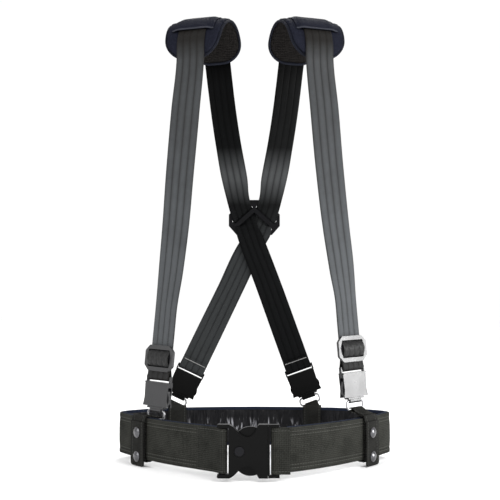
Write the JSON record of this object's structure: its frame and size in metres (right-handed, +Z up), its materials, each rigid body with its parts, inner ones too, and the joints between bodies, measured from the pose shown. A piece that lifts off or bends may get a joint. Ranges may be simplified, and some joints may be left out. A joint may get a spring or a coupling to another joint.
{
  "type": "tool belt",
  "caption": "Webbing duty belt with a three-point side-release buckle, carried on crossed, padded suspenders by side-release clips, wire rings and snap keepers.",
  "frame": {"origin": "middle of the wearer's waist, on the belt's plane of symmetry and at its mid height; the belt's centreline is 102 mm in front of it and 89 mm behind it", "axes": "+Z up the wearer's body, -Y towards the front buckle, +X to the right as seen from the front"},
  "size_m": [0.3492, 0.2099, 0.5573],
  "materials": {
    "belt_webbing": "coarse woven, matt",
    "lining": "crinkled satin",
    "binding": "ribbed tape",
    "black_plastic": "satin moulded",
    "steel": "satin",
    "snap_metal": "gloss black",
    "front_strap": "ribbed webbing, silky",
    "back_strap": "ribbed webbing",
    "pad_cloth": "padded cloth with piping"
  },
  "bodies": {
    "belt": {"belt_webbing": "belt_webbing", "belt_lining": "lining", "belt_edge_bindings": "binding", "buckle_shell": "black_plastic", "button_spring": "steel", "clip_rings": "steel", "keeper_studs": "snap_metal", "cross_plate": "black_plastic", "pad_sleeves": "pad_cloth", "front_strap_left": "front_strap", "front_strap_right": "front_strap", "back_upper_strap_left": "back_strap", "back_upper_strap_right": "back_strap", "back_lower_strap_left": "back_strap", "back_lower_strap_right": "back_strap", "shoulder_pad_left": "pad_cloth", "shoulder_pad_right": "pad_cloth", "clip_plug_front_left": "black_plastic", "strap_slack_front_left": "front_strap", "keeper_loop_front_left": "belt_webbing", "clip_plug_front_right": "black_plastic", "strap_slack_front_right": "front_strap", "keeper_loop_front_right": "belt_webbing", "clip_plug_back_left": "black_plastic", "strap_slack_back_left": "back_strap", "keeper_loop_back_left": "belt_webbing", "clip_plug_back_right": "black_plastic", "strap_slack_back_right": "back_strap", "keeper_loop_back_right": "belt_webbing"},
    "buckle_plug": {"buckle_plug": "black_plastic", "belt_right_fold": "belt_webbing"},
    "buckle_upper_tang": {"buckle_upper_tang": "black_plastic"},
    "buckle_lower_tang": {"buckle_lower_tang": "black_plastic"},
    "buckle_button": {"buckle_button": "black_plastic"},
    "clip_head_front_left": {"clip_housing_front_left": "black_plastic", "strap_eye_front_left": "front_strap"},
    "clip_arm_a_front_left": {"clip_arm_a_front_left": "black_plastic"},
    "clip_arm_b_front_left": {"clip_arm_b_front_left": "black_plastic"},
    "keeper_flap_front_left": {"keeper_flap_front_left": "belt_webbing", "keeper_caps_front_left": "snap_metal"},
    "clip_head_front_right": {"clip_housing_front_right": "black_plastic", "strap_eye_front_right": "front_strap"},
    "clip_arm_a_front_right": {"clip_arm_a_front_right": "black_plastic"},
    "clip_arm_b_front_right": {"clip_arm_b_front_right": "black_plastic"},
    "keeper_flap_front_right": {"keeper_flap_front_right": "belt_webbing", "keeper_caps_front_right": "snap_metal"},
    "clip_head_back_left": {"clip_housing_back_left": "black_plastic", "strap_eye_back_left": "back_strap"},
    "clip_arm_a_back_left": {"clip_arm_a_back_left": "black_plastic"},
    "clip_arm_b_back_left": {"clip_arm_b_back_left": "black_plastic"},
    "keeper_flap_back_left": {"keeper_flap_back_left": "belt_webbing", "keeper_caps_back_left": "snap_metal"},
    "clip_head_back_right": {"clip_housing_back_right": "black_plastic", "strap_eye_back_right": "back_strap"},
    "clip_arm_a_back_right": {"clip_arm_a_back_right": "black_plastic"},
    "clip_arm_b_back_right": {"clip_arm_b_back_right": "black_plastic"},
    "keeper_flap_back_right": {"keeper_flap_back_right": "belt_webbing", "keeper_caps_back_right": "snap_metal"},
    "adjuster_left": {"adjuster_frame_left": "black_plastic"},
    "adjuster_right": {"adjuster_frame_right": "black_plastic"}
  },
  "joints": [
    {"name": "buckle_release", "type": "slide", "parent": "belt", "child": "buckle_plug", "axis": [1, 0, 0], "range_m": [0, 0.032]},
    {"name": "buckle_upper_tang_flex", "type": "hinge", "parent": "buckle_plug", "child": "buckle_upper_tang", "pos_m": [0.007, -0.102, 0.02], "axis": [0, -1, 0], "range_deg": [0, 5], "stiffness_Nm_per_rad": 0.4},
    {"name": "buckle_lower_tang_flex", "type": "hinge", "parent": "buckle_plug", "child": "buckle_lower_tang", "pos_m": [0.007, -0.102, -0.02], "axis": [0, 1, 0], "range_deg": [0, 5], "stiffness_Nm_per_rad": 0.4},
    {"name": "buckle_button_press", "type": "slide", "parent": "belt", "child": "buckle_button", "axis": [0, 1, 0], "range_m": [0, 0.0025], "stiffness_N_per_m": 400, "deforming": ["button_spring"]},
    {"name": "clip_release_front_left", "type": "slide", "parent": "belt", "child": "clip_head_front_left", "axis": [0.081, 0.0405, 0.9959], "range_m": [0, 0.026], "deforming": ["strap_slack_front_left"]},
    {"name": "clip_arm_a_flex_front_left", "type": "hinge", "parent": "belt", "child": "clip_arm_a_front_left", "pos_m": [-0.10815, -0.01997, 0.03939], "axis": [-0.5859, -0.8064, 0.0804], "range_deg": [0, 6], "stiffness_Nm_per_rad": 0.2},
    {"name": "clip_arm_b_flex_front_left", "type": "hinge", "parent": "belt", "child": "clip_arm_b_front_left", "pos_m": [-0.13395, -0.00109, 0.04072], "axis": [0.5859, 0.8064, -0.0804], "range_deg": [0, 6], "stiffness_Nm_per_rad": 0.2},
    {"name": "keeper_flap_open_front_left", "type": "hinge", "parent": "belt", "child": "keeper_flap_front_left", "pos_m": [-0.14424, -0.01536, 0.02], "axis": [-0.6561, 0.7547, 0], "range_deg": [0, 90]},
    {"name": "clip_release_front_right", "type": "slide", "parent": "belt", "child": "clip_head_front_right", "axis": [-0.0729, 0.0405, 0.9965], "range_m": [0, 0.026], "deforming": ["strap_slack_front_right"]},
    {"name": "clip_arm_a_flex_front_right", "type": "hinge", "parent": "belt", "child": "clip_arm_a_front_right", "pos_m": [0.13586, -0.00109, 0.05261], "axis": [0.5861, -0.8067, 0.0757], "range_deg": [0, 6], "stiffness_Nm_per_rad": 0.2},
    {"name": "clip_arm_b_flex_front_right", "type": "hinge", "parent": "belt", "child": "clip_arm_b_front_right", "pos_m": [0.11004, -0.01996, 0.05148], "axis": [-0.5861, 0.8067, -0.0757], "range_deg": [0, 6], "stiffness_Nm_per_rad": 0.2},
    {"name": "keeper_flap_open_front_right", "type": "hinge", "parent": "belt", "child": "keeper_flap_front_right", "pos_m": [0.14424, -0.01536, 0.02], "axis": [-0.6561, -0.7547, 0], "range_deg": [0, 90]},
    {"name": "clip_release_back_left", "type": "slide", "parent": "belt", "child": "clip_head_back_left", "axis": [0.4332, 0.042, 0.9003], "range_m": [0, 0.026], "deforming": ["strap_slack_back_left"]},
    {"name": "clip_arm_a_flex_back_left", "type": "hinge", "parent": "belt", "child": "clip_arm_a_back_left", "pos_m": [-0.11496, 0.08592, 0.05226], "axis": [-0.1045, 0.9945, 0.0039], "range_deg": [0, 6], "stiffness_Nm_per_rad": 0.2},
    {"name": "clip_arm_b_flex_back_left", "type": "hinge", "parent": "belt", "child": "clip_arm_b_back_left", "pos_m": [-0.08631, 0.08899, 0.03833], "axis": [0.1045, -0.9945, -0.0039], "range_deg": [0, 6], "stiffness_Nm_per_rad": 0.2},
    {"name": "keeper_flap_open_back_left", "type": "hinge", "parent": "belt", "child": "keeper_flap_back_left", "pos_m": [-0.10578, 0.08588, 0.02], "axis": [0.9781, 0.2079, 0], "range_deg": [0, 90]},
    {"name": "clip_release_back_right", "type": "slide", "parent": "belt", "child": "clip_head_back_right", "axis": [-0.3379, 0.0225, 0.9409], "range_m": [0, 0.026], "deforming": ["strap_slack_back_right"]},
    {"name": "clip_arm_a_flex_back_right", "type": "hinge", "parent": "belt", "child": "clip_arm_a_back_right", "pos_m": [0.05643, 0.08936, 0.04035], "axis": [0.1045, 0.9944, 0.0137], "range_deg": [0, 6], "stiffness_Nm_per_rad": 0.2},
    {"name": "clip_arm_b_flex_back_right", "type": "hinge", "parent": "belt", "child": "clip_arm_b_back_right", "pos_m": [0.08636, 0.08606, 0.05118], "axis": [-0.1045, -0.9944, -0.0137], "range_deg": [0, 6], "stiffness_Nm_per_rad": 0.2},
    {"name": "keeper_flap_open_back_right", "type": "hinge", "parent": "belt", "child": "keeper_flap_back_right", "pos_m": [0.0792, 0.09036, 0.02], "axis": [0.99, -0.1409, 0], "range_deg": [0, 90]},
    {"name": "adjuster_slide_left", "type": "slide", "parent": "clip_head_front_left", "child": "adjuster_left", "axis": [0.081, 0.0405, 0.9959], "range_m": [0, 0.012]},
    {"name": "adjuster_slide_right", "type": "slide", "parent": "clip_head_front_right", "child": "adjuster_right", "axis": [-0.0729, 0.0405, 0.9965], "range_m": [0, 0.012]}
  ],
  "couplings": [
    {"joint": "buckle_lower_tang_flex", "follows": "buckle_upper_tang_flex", "ratio": 1},
    {"joint": "clip_arm_b_flex_front_left", "follows": "clip_arm_a_flex_front_left", "ratio": 1},
    {"joint": "clip_arm_b_flex_front_right", "follows": "clip_arm_a_flex_front_right", "ratio": 1},
    {"joint": "clip_arm_b_flex_back_left", "follows": "clip_arm_a_flex_back_left", "ratio": 1},
    {"joint": "clip_arm_b_flex_back_right", "follows": "clip_arm_a_flex_back_right", "ratio": 1}
  ]
}
